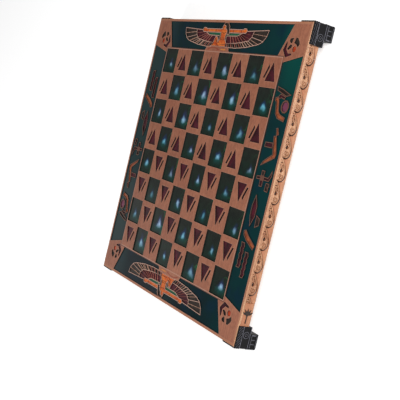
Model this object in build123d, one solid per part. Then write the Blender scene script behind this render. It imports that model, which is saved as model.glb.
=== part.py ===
from build123d import *

import os

# A chess board, in millimetres. X runs to the right, Y to the far side and Z up. The origin is in the
# middle of the board, on the surface that its feet stand on.

# Playing field
SQUARE = 50.0  # side of one playing square
SQUARES = 8  # squares along each side
TILE = 47.0  # side of the resin tile in a dark square
FIELD_STRIP = 2.75  # wood between the outer tiles and the border panels

# Border panels
PANEL_WIDTH = 51.0  # of each resin border panel
END_INNER = 367.0  # far and near panels, along the playing field
END_OUTER = 420.0  # far and near panels, along the board's edge
SIDE_INNER = 382.0  # left and right panels, along the playing field
SIDE_OUTER = 407.0  # left and right panels, along the board's edge
MARGIN = 4.75  # wood outside the border panels

# Thicknesses, from the face down
TOTAL_HEIGHT = 42.0  # from the table to the playing face
BOARD_THICK = 21.5  # of the framed board without its feet
PLAYING_THICK = 12.0  # of the milled playing panel
POCKET_DEPTH = 3.5  # of the pockets that hold the resin
RECESS = 1.1  # from the playing face down to the resin
FIGURE_RECESS = 0.5  # from the playing face down to the amber figure
RESIN_GAP = 0.05  # between a resin piece and its pocket
RIM = 1.1  # width of the wood left standing round a motif
SMALLEST_CASTING = 3.0  # in square millimetres; a smaller gap between motifs stays wood
CUT_OVER = 2.0  # how far a cutter runs past the face that it opens
FACETS = 3  # short straight cuts in place of each curve of a motif

# Pyramids in the light squares, measured from the square's far left corner
PYRAMID_BASE_LEFT = 13.4
PYRAMID_BASE_RIGHT = 42.0
PYRAMID_BASE_DOWN = 41.2
PYRAMID_TIP_RIGHT = 28.0
PYRAMID_TIP_DOWN = 8.8
SMALL_TOP_LEFT = 17.2
SMALL_TOP_RIGHT = 19.9
SMALL_TOP_DOWN = 12.9
SMALL_CUT_DOWN = 18.6
SMALL_BASE_LEFT = 6.6
SMALL_BASE_RIGHT = 11.6
SMALL_BASE_DOWN = 36.3

# Winged figure of the far and near panels
WING_SPAN = 286.0  # from wing tip to wing tip
WING_MARGIN = 11.0  # from the panel's outer edge to the wing tips
FEATHERS = 8  # ribs between the flight feathers of one wing
FEATHER_SPREAD = 85.0  # degrees that the feathers turn from the tip to the body
FEATHER_RIB = 0.9  # width of a wood rib between flight feathers
ARM_REACH = 64.0  # from the figure's middle to its wrist
ARM_MARGIN = 15.0  # from the panel's outer edge to the middle of the arms
ARM_WIDTH = 5.0
HAND_LENGTH = 14.0
HAND_WIDTH = 6.6
HEAD_RADIUS = 4.6
HEAD_MARGIN = 8.4  # from the panel's outer edge to the middle of the head
HEAD_SIDES = 8

# Side motifs, with their height along the board counted from its middle
SUN_HEIGHT = 123.0
SUN_RADIUS = 8.2
SUN_SIDES = 10
SUN_RIM = 2.2  # width of the wood round the sun
WATER_TEETH = 4  # zigzags along a water sign
TOOTH_PITCH = 9.8
TOOTH_DEPTH = 2.0
WATER_WIDTH = 7.0

# Corner medallions, with their middle measured from the board's middle
MEDALLION_OFF = 214.5
DISC_RADIUS = 5.2
DISC_SIDES = 8

# Edge rails
LIP = 3.5  # width of a rail beside the playing panel
LEDGE = 10.0  # width of a rail below the playing panel
GLUE_GAP = 0.1  # round both panels in their rebates
CARVE_DEPTH = 1.5  # from the carved scrolls to the ground behind them
WAVE_PITCH = 36.5
WAVES = 11  # whole scrolls along a rail
WAVE_INSET = 27.0  # from the board's corner to the first scroll
WAVE_TOP = 7.8  # from the playing face down to the scrolls
WAVE_HEIGHT = 9.8  # from the top of a scroll to its lowest point
LAST_TAIL = 13.0  # length of the cut-off tail after the last scroll
BLOSSOM_AT = 51.0  # from the board's corner to the blossom's foot
BLOSSOM_DOWN = 11.5  # from the playing face down to the blossom's middle
PETALS = 5
PETAL_LENGTH = 12.0
PETAL_WIDTH = 3.4
PETAL_FAN = 120.0  # degrees from the first petal to the last
STEM_LENGTH = 13.0
STEM_WIDTH = 1.6
BLOSSOM_DEPTH = 1.2

# Corner caps and feet
CAP_LEG = 37.0  # length of each leg of a cap
CAP_PROUD = 2.75  # how far a cap stands out from the rails
CAP_DROP = 1.0  # from the playing face down to the cap's top
CAP_DEPTH = 26.0  # from the playing face down to the cap's underside
CAP_GAP = 0.1  # between a cap's walls and the rails
CAP_ROUND = 3.0  # radius of a cap's and a foot's upright corner
FLANGE_CUT = 16.0  # leg of the corner cut off the cap's flange
RELIEF = 0.8  # depth of the caps' and feet's relief
FLUTE_COUNT = 3
FLUTE_WIDTH = 2.2
FLUTE_HEIGHT = 8.0
FLUTE_SLANT = 25.0
BAND_WIDTH = 1.0
FOOT_SIDE = 26.0
FOOT_CHAMFER = 1.5
PAD_SIDE = 20.0
PAD_THICK = 2.0
PAD_PROUD = 1.0
PAD_GAP = 0.1

# Spigots, one on each foot, that pass through the cap into the corner of the base panel
SPIGOT_SIDE = 7.0
SPIGOT_END = 28.0  # height of its top above the table
SPIGOT_GAP = 0.1
SPIGOT_INSET = 6.0  # from the base panel's edges to the spigot's middle

# Places worked out from the sizes above
FIELD = SQUARE * SQUARES
PANEL_INNER = FIELD / 2 - (SQUARE - TILE) / 2 + FIELD_STRIP
PANEL_OUTER = PANEL_INNER + PANEL_WIDTH
HALF = PANEL_OUTER + MARGIN
FACE = TOTAL_HEIGHT
UNDERSIDE = FACE - BOARD_THICK
POCKET_FLOOR = FACE - POCKET_DEPTH
SEAM = FACE - PLAYING_THICK
OUTSIDE = HALF + CAP_PROUD
FOOT_MIDDLE = OUTSIDE - FOOT_SIDE / 2
BASE_SIDE = 2 * (HALF - LEDGE - GLUE_GAP)
SPIGOT_AT = BASE_SIDE / 2 - SPIGOT_INSET
WING_TOP = PANEL_WIDTH - WING_MARGIN
ARM_AT = PANEL_WIDTH - ARM_MARGIN
HEAD_AT = PANEL_WIDTH - HEAD_MARGIN
MOTIF_SCALE = PANEL_WIDTH / 51  # the points of the motifs are drawn for a panel 51 mm wide


def polygon(*points):
    return make_face(Polyline(*points, close=True))


def at(*point):
    """A point of a motif, moved with the width of the panels."""
    return Vector(*point) * MOTIF_SCALE


def drawn(*points):
    """A face through points of a motif."""
    return polygon(*[at(*point) for point in points])


def facets(start, bulge, end):
    """Points along an arc, without its end."""
    arc = ThreePointArc(start, bulge, end)
    return [arc @ (number / FACETS) for number in range(FACETS)]


def grown(face, by):
    """The face with its outline moved outwards, or inwards for a negative distance, with sharp corners."""
    return offset(face, amount=by, kind=Kind.INTERSECTION) if by else face


def all_grown(faces, by):
    return [grown(face, by) for face in faces]


def raised(face, low, high):
    """The upright solid between two heights that has this face as its plan."""
    return extrude(Pos(0, 0, low) * face, amount=high - low, dir=(0, 0, 1))


def pocket(face):
    return raised(face, POCKET_FLOOR, FACE + CUT_OVER)


def castings(faces, recess=RECESS):
    """One resin casting for each face, from its pocket's floor up to its recess below the playing face."""
    return [solid for face in faces for solid in raised(face, POCKET_FLOOR, FACE - recess).solids()]


def turned(shapes):
    """The same shapes at the opposite side of the board."""
    return [Rot(0, 0, 180) * shape for shape in shapes]


# Playing squares


def square_corner(row, column):
    """Far left corner of a square, with rows counted from the far side."""
    return Pos(column * SQUARE - FIELD / 2, FIELD / 2 - row * SQUARE)


def is_dark(row, column):
    return (row + column) % 2 == 0


def tile_row(row, gap):
    """Faces of the dark squares in one row."""
    middle = Pos(SQUARE / 2, -SQUARE / 2)
    side = TILE - 2 * gap
    columns = [column for column in range(SQUARES) if is_dark(row, column)]
    return [square_corner(row, column) * middle * Rectangle(side, side) for column in columns]


def large_pyramid():
    return polygon(
        (PYRAMID_BASE_LEFT, -PYRAMID_BASE_DOWN),
        (PYRAMID_BASE_RIGHT, -PYRAMID_BASE_DOWN),
        (PYRAMID_TIP_RIGHT, -PYRAMID_TIP_DOWN),
    )


def small_pyramid():
    """The part of a second pyramid that the large one leaves in view."""
    return polygon(
        (SMALL_TOP_LEFT, -SMALL_TOP_DOWN),
        (SMALL_BASE_LEFT, -SMALL_BASE_DOWN),
        (SMALL_BASE_RIGHT, -SMALL_BASE_DOWN),
        (SMALL_TOP_RIGHT, -SMALL_CUT_DOWN),
    )


def light_squares(motif, gap):
    """The motif in each light square of the far half."""
    inset = grown(motif, -gap)
    faces = []
    for row in range(SQUARES // 2):
        for column in range(SQUARES):
            if not is_dark(row, column):
                faces.append(square_corner(row, column) * inset)
    return faces


def field_motifs(gap):
    """Faces of all 64 squares by node."""
    motifs = {f"dark_tiles_row_{row + 1}": tile_row(row, gap) for row in range(SQUARES)}
    for name, motif in (("large_pyramids", large_pyramid()), ("small_pyramids", small_pyramid())):
        far = light_squares(motif, gap)
        motifs[name + "_far"] = far
        motifs[name + "_near"] = turned(far)
    return motifs


# Winged figure of the far panel


def at_far_panel(face):
    return Pos(0, PANEL_INNER) * face


def wing():
    """Outline of the right wing, from the figure's middle and the panel's inner edge."""
    tip = Vector(WING_SPAN / 2, WING_TOP)
    corner = at(120, 15)
    root = at(12, 6.75)
    tip_curve = facets(tip, at(137.5, 25.5), corner)
    lower_curve = facets(corner, at(85, 8.8), root)
    return polygon(at(12, 27.5), at(48, 28.2), at(72, 37), *tip_curve, *lower_curve, root)


def covert_edge():
    """The line between the inner band of the wing and its flight feathers, from the tip to the body."""
    elbow = at(75.5, 19.25)
    body_end = at(0, 14.75)
    return [*facets(at(98.5, 38), at(93, 25.5), elbow), *facets(elbow, at(45, 15.4), body_end), body_end]


def covert_area():
    """Everything inside the covert edge, closed above the wing."""
    edge = covert_edge()
    above = WING_TOP + 20
    return polygon(*edge, (0, above), (edge[0].X, above))


def feather_lines():
    """A start point and an angle for each rib, from the wing's tip to the body."""
    edge = Polyline(*covert_edge())
    lines = []
    for number in range(FEATHERS):
        share = (number + 1) / (FEATHERS + 1)
        lines.append((edge @ share, -FEATHER_SPREAD * share))
    return lines


def rib(start, angle, length, width):
    bar = Rectangle(length, width, align=(Align.MIN, Align.CENTER))
    return Pos(start.X, start.Y) * Rot(0, 0, angle) * bar


def figure_shapes():
    """Simple faces that make up a kneeling figure with spread arms, seen from its side below the waist."""
    torso = drawn((-11, 39), (11, 39), (7.5, 27), (10, 12), (-10, 12), (-7.5, 27))
    hip = [(14, 8.5), (14, 15), (9, 20), (-9, 20), (-14, 15)]
    knee = [(-18, 24), (-24, 25), (-29, 14), (-35, 8.5)]
    lap = drawn(*hip, *knee)
    arms = Pos(0, ARM_AT) * Rectangle(2 * ARM_REACH, ARM_WIDTH)
    slope = HAND_LENGTH / 4
    hand = polygon(
        (-HAND_LENGTH / 2, 0),
        (-slope, HAND_WIDTH / 2),
        (slope, HAND_WIDTH / 2),
        (HAND_LENGTH / 2, 0),
        (slope, -HAND_WIDTH / 2),
        (-slope, -HAND_WIDTH / 2),
    )
    hands = [Pos(side * (ARM_REACH + HAND_LENGTH / 3), ARM_AT + 1) * hand for side in (-1, 1)]
    head = Pos(-2 * MOTIF_SCALE, HEAD_AT) * RegularPolygon(HEAD_RADIUS, HEAD_SIDES)
    return [torso, lap, arms, *hands, head]


def joined(faces):
    """One face from several."""
    whole = Sketch()
    for face in faces:
        whole += face
    return whole


def headdress():
    crown = [(-4, 47), (-1, 50.2), (9, 50.2), (15, 44), (19, 31)]
    hair_line = [(13, 30), (9.5, 38), (4.5, 41), (3.5, 45.5)]
    return drawn(*crown, *hair_line)


def figure(gap):
    return joined(all_grown(figure_shapes(), -gap)) - grown(headdress(), RIM + gap)


def figure_outline(by):
    """Figure and headdress with the wood round them."""
    return joined(all_grown([*figure_shapes(), headdress()], by))


def plinth():
    """The wood block that the figure kneels on, standing on the strip beside the playing field."""
    return drawn((-52, -1), (31, -1), (27, 7.4), (-47, 7.4))


def large_enough(shape):
    """The faces of a shape that can be cast."""
    return [face for face in shape.faces() if face.area > SMALLEST_CASTING]


def wing_bands(gap):
    """Faces of the burgundy inner band and of the dark flight feathers, both wings."""
    inside = grown(wing(), -RIM - gap)
    width = FEATHER_RIB + 2 * gap
    ribs = [rib(start, angle, WING_SPAN / 2, width) for start, angle in feather_lines()]
    coverts = inside & grown(covert_area(), -gap)
    feathers = inside - [grown(covert_area(), RIM + gap), *ribs]
    body = figure_outline(RIM + gap)
    bands = []
    for band in (coverts, feathers):
        right = band - body
        left = mirror(band, about=Plane.YZ) - body
        bands.append(large_enough(right) + large_enough(left))
    return bands


def end_ground(gap):
    """Faces of the resin round the motifs of the far panel."""
    area = polygon(
        (-END_INNER / 2, 0),
        (END_INNER / 2, 0),
        (END_OUTER / 2, PANEL_WIDTH),
        (-END_OUTER / 2, PANEL_WIDTH),
    )
    right = grown(wing(), gap)
    islands = [right, mirror(right, about=Plane.YZ), figure_outline(RIM + gap), grown(plinth(), gap)]
    return large_enough(grown(area, -gap) - islands)


def end_motifs(gap):
    """Faces of the far and the near panel by node."""
    coverts, feathers = wing_bands(gap)
    far_panel = {
        "border_panel": end_ground(gap),
        "wing_coverts": coverts,
        "wing_feathers": feathers,
        "winged_figure": list(figure(gap).faces()),
        "headdress": [grown(headdress(), -gap)],
    }
    motifs = {}
    for name, faces in far_panel.items():
        placed = [at_far_panel(face) for face in faces]
        motifs[name + "_far"] = placed
        motifs[name + "_near"] = turned(placed)
    return motifs


# Motifs of the right panel, with X counted from the panel's middle and Y from the board's


def beside_sun(face):
    """Moves a face from the panel's middle to the height of the sun."""
    return Pos(0, SUN_HEIGHT) * face


def brow():
    return beside_sun(drawn((-19.8, 29), (-4.4, 25.6), (15.9, 19), (7.5, 16.8), (-7.9, 21.2), (-18.7, 24.4)))


def eyelid():
    return beside_sun(drawn((-10.5, 11.6), (-12, 15), (-7.9, 18), (5, 14.6), (3.5, 11.8), (-5, 14)))


def sun():
    return Pos(9.9 * MOTIF_SCALE, SUN_HEIGHT) * RegularPolygon(SUN_RADIUS, SUN_SIDES)


def arm():
    upper_side = [(-19.5, 8.4), (-19.5, 11.6), (-14.2, 13), (-10, 8), (-4.6, -9), (1, -13.5), (15.5, -17.4)]
    lower_side = [(14.5, -22.4), (-3.5, -19), (-10.5, -12.5), (-15.6, 6)]
    return beside_sun(drawn(*upper_side, *lower_side))


def throwing_stick():
    tip = drawn((3.2, 87.4), (6, 88), (10.4, 79.4), (6.4, 77.8))
    outer_side = [(1.2, 74.8), (6.6, 75.6), (17, 48), (15.5, 43)]
    inner_side = [(2, 36.5), (-15, 28.4), (-12, 33), (-1.5, 40), (9, 46.5)]
    return [tip, drawn(*outer_side, *inner_side)]


def block():
    return drawn((-17.5, 57.4), (-17.5, 63.2), (1.8, 64), (1.8, 57.4))


def knot():
    """Three arms of the knotted cross: left, right and down."""
    left = drawn((-18.5, 5.6), (-18.5, 8.6), (-9.2, 9.4), (-9.2, 6))
    right = drawn((1, 5.8), (1, 9.2), (12.5, 9), (17, 15.5), (18.6, 19.5), (19.8, 14), (14.8, 5.8))
    down = drawn((-7, 3.6), (-1.2, 3.6), (-1.2, -5), (-7, -5))
    return [left, right, down]


def knot_middle():
    """The wood between the arms of the cross."""
    return drawn((-9, 3), (-9, 12), (0, 12), (0.8, 4), (-1, 3))


def knot_top():
    return drawn((-6.9, 11.6), (-7.6, 18.6), (-0.8, 18.6), (-1.6, 11.6))


def hook():
    hooked_side = [(17.8, 0.8), (18.6, -3.4), (14.5, -4.8), (18, -7.2), (17.5, -10.8)]
    return drawn((10.8, 0.8), *hooked_side, (10.2, -10.2))


def leaf():
    top = (-7.4, -22.5)
    foot_end = (-6.2, -68.6)
    return drawn(*facets(top, (1.6, -45), foot_end), *facets(foot_end, (-12, -45), top))


def loop():
    low = (8.5, -69)
    high = (7.4, -52)
    return drawn(low, *facets(high, (17.6, -60), low))


def club():
    return drawn((-16.5, -80.5), (-12, -79), (-3, -86), (19, -98), (16.5, -103.5), (-6, -93), (-15, -86))


def water_sign(left, top):
    """A column of zigzags going down from its top."""
    left_side = []
    right_side = []
    for number in range(2 * WATER_TEETH + 1):
        shift = TOOTH_DEPTH * (number % 2)
        height = top - number * TOOTH_PITCH / 2
        left_side.append((left + shift, height))
        right_side.append((left + shift + WATER_WIDTH, height))
    return polygon(*left_side, *reversed(right_side))


def water():
    tops = [(-15.2, -99), (0.8, -112)]
    return [water_sign(left * MOTIF_SCALE, top * MOTIF_SCALE) for left, top in tops]


def side_motifs(gap):
    """Faces of the right and the left panel by node."""
    fills = {
        "amber_motifs": [arm(), *throwing_stick(), club()],
        "plum_motifs": [eyelid(), sun(), block(), leaf(), *knot(), *water()],
        "dark_motifs": [brow(), knot_top(), hook(), loop()],
    }
    islands = [grown(knot_middle(), gap), grown(sun(), SUN_RIM + gap)]
    for faces in fills.values():
        islands += all_grown(faces, RIM + gap)
    area = polygon(
        (-PANEL_WIDTH / 2, -SIDE_INNER / 2),
        (-PANEL_WIDTH / 2, SIDE_INNER / 2),
        (PANEL_WIDTH / 2, SIDE_OUTER / 2),
        (PANEL_WIDTH / 2, -SIDE_OUTER / 2),
    )
    right_panel = {name: all_grown(faces, -gap) for name, faces in fills.items()}
    right_panel["border_panel"] = large_enough(grown(area, -gap) - islands)
    place = Pos((PANEL_INNER + PANEL_OUTER) / 2, 0)
    motifs = {}
    for name, faces in right_panel.items():
        placed = [place * face for face in faces]
        motifs[name + "_right"] = placed
        motifs[name + "_left"] = turned(placed)
    return motifs


# Corner medallions, with X and Y from the medallion's middle towards the far right corner


def wing_cases():
    """The two black wing cases of the beetle and the bar below them."""
    left = drawn((-7.6, 11.3), (-7, 14.6), (-3.3, 15.9), (2.6, 16.3), (-0.4, 7.4), (-3.6, 7.6))
    right = drawn((8.4, 17.2), (13, 16.3), (18.6, 11.3), (20.8, 6.6), (17.4, 1.4), (12.6, 5.6), (5.4, 8.2))
    bar = drawn((-3.3, 6), (2.4, 4.4), (0.4, 0), (-6.4, -3.4), (-10.1, -1.3))
    return [left, right, bar]


def crescent():
    inner_start = (4.6, -8.2)
    inner_end = (-11.6, 6.6)
    outer_start = (-13.9, 11.3)
    outer_end = (5.5, -11.2)
    inner = facets(inner_start, (-8.6, -6.4), inner_end)
    outer = facets(outer_start, (-15.4, -12.4), outer_end)
    return drawn(*inner, inner_end, *outer, outer_end)


def disc():
    return Pos(9.3 * MOTIF_SCALE, -1.6 * MOTIF_SCALE) * RegularPolygon(DISC_RADIUS, DISC_SIDES)


def at_corners(faces):
    """Copies of the faces at all four corners, mirrored about both axes."""
    right = [Pos(MEDALLION_OFF, MEDALLION_OFF) * face for face in faces]
    far = right + [mirror(face, about=Plane.YZ) for face in right]
    return far + [mirror(face, about=Plane.XZ) for face in far]


def medallion_motifs(gap):
    motifs = {"beetle_wing_cases": wing_cases(), "beetle_crescents": [crescent()], "beetle_discs": [disc()]}
    return {name: at_corners(all_grown(faces, -gap)) for name, faces in motifs.items()}


# Wood


def all_motifs(gap):
    """Every inlaid face by node: the pocket with no gap, or its casting with one."""
    motifs = {}
    for group in (end_motifs, side_motifs, field_motifs, medallion_motifs):
        motifs.update(group(gap))
    return motifs


def playing_panel():
    side = 2 * (HALF - LIP - GLUE_GAP)
    slab = Pos(0, 0, SEAM) * Box(side, side, PLAYING_THICK, align=(Align.CENTER, Align.CENTER, Align.MIN))
    return slab - [pocket(face) for faces in all_motifs(0).values() for face in faces]


def base_panel():
    height = SEAM - UNDERSIDE
    panel = Box(BASE_SIDE, BASE_SIDE, height, align=(Align.CENTER, Align.CENTER, Align.MIN))
    mortises = [mirrored(spigot(SPIGOT_GAP), right, far) for right in (True, False) for far in (True, False)]
    return Pos(0, 0, UNDERSIDE) * panel - mortises


def rail_blank():
    """The right rail, an L in section, cut to its mitres."""
    section = Polyline(
        (HALF, 0, UNDERSIDE),
        (HALF, 0, FACE),
        (HALF - LIP, 0, FACE),
        (HALF - LIP, 0, SEAM),
        (HALF - LEDGE, 0, SEAM),
        (HALF - LEDGE, 0, UNDERSIDE),
        close=True,
    )
    bar = extrude(make_face(section), amount=HALF, both=True)
    past = HALF + CUT_OVER
    wedge = polygon((0, 0), (past, past), (past, -past))
    return bar & raised(wedge, UNDERSIDE, FACE)


def rail_face():
    """The right rail's outer face, with X running from far to near and Y going down from the playing face."""
    return Plane(origin=(HALF, HALF - WAVE_INSET, FACE), x_dir=(0, -1, 0), z_dir=(1, 0, 0))


def scroll():
    """One running scroll: a thin tail that swells into a rounded head."""
    tail = (0, WAVE_TOP)
    low = (23, WAVE_TOP + WAVE_HEIGHT)
    head = (WAVE_PITCH - 0.4, WAVE_TOP + 3.4)
    back = (WAVE_PITCH - 2, WAVE_TOP)
    belly = facets(tail, (10, WAVE_TOP + 5.8), low)
    return polygon(*belly, *facets(low, (31, WAVE_TOP + 8.3), head), head, back)


def carved_ground():
    """The sunk ground under the scrolls, which ends at a line across the last tail."""
    length = WAVES * WAVE_PITCH + LAST_TAIL
    width = BOARD_THICK - WAVE_TOP + CUT_OVER
    band = Pos(0, WAVE_TOP) * Rectangle(length, width, align=(Align.MIN, Align.MIN))
    scrolls = [Pos(number * WAVE_PITCH) * scroll() for number in range(WAVES + 1)]
    return band - scrolls


def blossom():
    """A fan of petals on a stem that runs to the near cap."""
    half = PETAL_LENGTH / 2
    petal = polygon((0, 0), (-half, PETAL_WIDTH / 2), (-PETAL_LENGTH, 0), (-half, -PETAL_WIDTH / 2))
    turn = PETAL_FAN / (PETALS - 1)
    stem = Rectangle(STEM_LENGTH, STEM_WIDTH, align=(Align.MIN, Align.CENTER))
    flower = stem + RegularPolygon(STEM_WIDTH, 6)
    for number in range(PETALS):
        flower += Rot(0, 0, number * turn - PETAL_FAN / 2) * petal
    foot = 2 * HALF - WAVE_INSET - BLOSSOM_AT
    return Pos(foot, BLOSSOM_DOWN) * flower


def blossom_inlay():
    inset = offset(blossom(), amount=-RESIN_GAP, kind=Kind.INTERSECTION)
    floor = rail_face().offset(-BLOSSOM_DEPTH)
    return extrude(floor * inset, amount=BLOSSOM_DEPTH)


def edge_rail():
    ground = extrude(rail_face() * carved_ground(), amount=-CARVE_DEPTH)
    recess = extrude(rail_face() * blossom(), amount=-BLOSSOM_DEPTH)
    return rail_blank() - [ground, recess]


# Corner caps and feet, at the far right corner


def corner_block(side, low, high, rounding):
    """A square block in the corner, with its upright outer edge rounded."""
    middle = OUTSIDE - side / 2
    block_face = Pos(middle, middle) * Rectangle(side, side)
    outer = block_face.vertices().sort_by(Axis((0, 0, 0), (1, 1, 0)))[-1]
    return raised(fillet(outer, rounding), low, high)


def cap_side():
    """A cap's right side, with X from the cap's near end to the corner and Y up from its underside."""
    return Plane(origin=(OUTSIDE, OUTSIDE - CAP_LEG, FACE - CAP_DEPTH), x_dir=(0, 1, 0), z_dir=(1, 0, 0))


def cap_relief():
    """Grooves of one side: slanted flutes and two bands."""
    high = CAP_DEPTH - CAP_DROP
    flute_pitch = CAP_LEG / (FLUTE_COUNT + 1)
    flute = Rot(0, 0, FLUTE_SLANT) * Rectangle(FLUTE_WIDTH, FLUTE_HEIGHT)
    flute_height = high - FLUTE_HEIGHT / 2 - BAND_WIDTH
    flutes = [Pos(flute_pitch * (number + 1), flute_height) * flute for number in range(FLUTE_COUNT)]
    band = Rectangle(CAP_LEG - 2 * CAP_ROUND, BAND_WIDTH)
    heights = (high - FLUTE_HEIGHT - 3 * BAND_WIDTH, 2 * BAND_WIDTH)
    bands = [Pos(CAP_LEG / 2, height) * band for height in heights]
    return [*flutes, *bands]


def both_sides(cutters):
    """Cutters made for the right side, with their mirror images on the far side."""
    diagonal = Plane(origin=(0, 0, 0), z_dir=(1, -1, 0))
    return cutters + [mirror(cutter, about=diagonal) for cutter in cutters]


def board_corner():
    """Space that the board takes up inside a cap."""
    side = HALF + CAP_GAP
    height = BOARD_THICK + CUT_OVER
    space = Box(2 * side, 2 * side, height, align=(Align.CENTER, Align.CENTER, Align.MIN))
    return Pos(0, 0, UNDERSIDE) * space


def corner_cap():
    block_solid = corner_block(CAP_LEG, FACE - CAP_DEPTH, FACE - CAP_DROP, CAP_ROUND)
    inner = OUTSIDE - CAP_LEG
    reach = inner + FLANGE_CUT
    cut = polygon((inner, inner), (reach, inner), (inner, reach))
    flange_cut = raised(cut, FACE - CAP_DEPTH, FACE)
    relief = [extrude(cap_side() * face, amount=-RELIEF) for face in cap_relief()]
    return block_solid - [board_corner(), flange_cut, *both_sides(relief), spigot(SPIGOT_GAP)]


def pad_recess():
    side = PAD_SIDE + 2 * PAD_GAP
    height = PAD_THICK - PAD_PROUD
    block_face = Box(side, side, height, align=(Align.CENTER, Align.CENTER, Align.MIN))
    return Pos(FOOT_MIDDLE, FOOT_MIDDLE, PAD_PROUD) * block_face


def foot():
    block_solid = corner_block(FOOT_SIDE, PAD_PROUD, FACE - CAP_DEPTH, CAP_ROUND)
    lower_edges = block_solid.edges().group_by(Axis.Z)[0]
    block_solid = chamfer(lower_edges, FOOT_CHAMFER)
    return block_solid - pad_recess() + spigot()


def foot_pad():
    pad = Box(PAD_SIDE, PAD_SIDE, PAD_THICK, align=(Align.CENTER, Align.CENTER, Align.MIN))
    return Pos(FOOT_MIDDLE, FOOT_MIDDLE) * pad


def spigot(gap=0.0):
    """The square spigot on top of a foot, or with a gap the mortise that takes it."""
    side = SPIGOT_SIDE + 2 * gap
    face = Pos(SPIGOT_AT, SPIGOT_AT) * Rectangle(side, side)
    return raised(face, FACE - CAP_DEPTH - gap, SPIGOT_END + gap)


def mirrored(solid, right, far):
    """The far right corner's piece moved to another corner."""
    if not right:
        solid = mirror(solid, about=Plane.YZ)
    if not far:
        solid = mirror(solid, about=Plane.XZ)
    return solid


# The whole board


def inlaid_pieces():
    """The castings of every motif."""
    pieces = {}
    for name, faces in all_motifs(RESIN_GAP).items():
        recess = FIGURE_RECESS if name.startswith("winged_figure") else RECESS
        pieces[name] = castings(faces, recess)
    return pieces


def rail_pieces():
    """Four rails alike, each a quarter turn from the last, and their black blossoms."""
    rail = edge_rail()
    inlay = blossom_inlay()
    pieces = {}
    for number, name in enumerate(("right", "far", "left", "near")):
        pieces[f"edge_rail_{name}"] = [Rot(0, 0, 90 * number) * rail]
    pieces["rail_blossoms"] = [Rot(0, 0, 90 * number) * inlay for number in range(4)]
    return pieces


def corner_pieces():
    """A cap and a foot at each corner, with the pads of all four."""
    cap = corner_cap()
    block_solid = foot()
    pad = foot_pad()
    pieces = {"foot_pads": []}
    for far_name, far in (("far", True), ("near", False)):
        for side_name, right in (("left", False), ("right", True)):
            corner = f"{far_name}_{side_name}"
            pieces[f"corner_cap_{corner}"] = [mirrored(cap, right, far)]
            pieces[f"foot_{corner}"] = [mirrored(block_solid, right, far)]
            pieces["foot_pads"].append(mirrored(pad, right, far))
    return pieces


def board():
    """Every piece of the board: a node's name and its solids."""
    return {
        **inlaid_pieces(),
        "playing_panel": [playing_panel()],
        "base_panel": [base_panel()],
        **rail_pieces(),
        **corner_pieces(),
    }


def write(pieces):
    os.makedirs("parts", exist_ok=True)
    for name, shapes in pieces.items():
        solids = [solid for shape in shapes for solid in shape.solids()]
        whole = solids[0] if len(solids) == 1 else Compound(solids)
        export_step(whole, f"parts/{name}.step")
        print(name, len(solids), round(sum(solid.volume for solid in solids)))


write(board())
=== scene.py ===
import math
import random

import bmesh
import bpy
import numpy as np
from mathutils import Euler, Matrix, Vector
from mathutils.geometry import tessellate_polygon


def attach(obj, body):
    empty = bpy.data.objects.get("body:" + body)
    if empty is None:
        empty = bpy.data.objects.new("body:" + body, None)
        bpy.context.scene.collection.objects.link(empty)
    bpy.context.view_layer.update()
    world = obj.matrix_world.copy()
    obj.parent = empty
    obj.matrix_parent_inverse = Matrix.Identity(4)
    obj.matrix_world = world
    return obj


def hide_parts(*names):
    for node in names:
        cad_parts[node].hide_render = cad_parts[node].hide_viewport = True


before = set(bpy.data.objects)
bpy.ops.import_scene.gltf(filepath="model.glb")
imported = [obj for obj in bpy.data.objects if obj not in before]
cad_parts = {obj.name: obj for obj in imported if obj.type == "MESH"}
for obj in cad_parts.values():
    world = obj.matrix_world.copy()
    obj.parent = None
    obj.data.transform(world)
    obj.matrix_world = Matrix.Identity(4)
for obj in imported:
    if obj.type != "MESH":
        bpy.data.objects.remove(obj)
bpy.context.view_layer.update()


# Base panel
# A plain board of light wood that backs the playing panel between the rails. It is planed
# and oiled, and the spigots of the four feet are glued into its corners.

FINE_RELIEF = 0.00006


def finish(name, roughness, coat=0.0, gloss=0.5):
    """A new material, with what is the same all over set on its shader."""
    made = bpy.data.materials.new(name)
    made.use_nodes = True
    shader = made.node_tree.nodes["Principled BSDF"]
    shader.inputs["Roughness"].default_value = roughness
    shader.inputs["Coat Weight"].default_value = coat
    shader.inputs["Coat Roughness"].default_value = 0.12
    shader.inputs["Specular IOR Level"].default_value = gloss
    return made, made.node_tree, shader


def put(tree, kind, *values, out=0, **settings):
    """A node fed in order: a socket is linked, a value is set and None is left alone."""
    made = tree.nodes.new("ShaderNode" + kind)
    for key, value in settings.items():
        setattr(made, key, value)
    for socket, value in zip(made.inputs, values):
        if isinstance(value, bpy.types.NodeSocket):
            tree.links.new(value, socket)
        elif value is not None:
            socket.default_value = value
    return made.outputs[out]


def calc(tree, operation, first, second=None):
    return put(tree, "Math", first, second, operation=operation)


def times(tree, first, second):
    return calc(tree, "MULTIPLY", first, second)


def mixed(tree, share, first, second, most=None):
    """Two colours mixed by the share of the second, which can be held down to a part of itself."""
    if most is not None:
        share = times(tree, share, most)
    other_kinds = [None] * 5
    return put(tree, "Mix", share, *other_kinds, first, second, out=2, data_type="RGBA")


def ranged(tree, value, low, high, to_low=0.0, to_high=1.0):
    """A value's range moved to another, held at its ends."""
    return put(tree, "MapRange", value, low, high, to_low, to_high)


def object_place(tree):
    """Where a point lies, in metres from the middle of the board and up from where its feet stand."""
    return put(tree, "TexCoord", out=3)


def parts(tree, vector):
    """A vector's three numbers."""
    return put(tree, "SeparateXYZ", vector).node.outputs


def noise(tree, place, size, detail, rough=0.5, out=0):
    return put(tree, "TexNoise", place, None, size, detail, rough, out=out)


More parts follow.
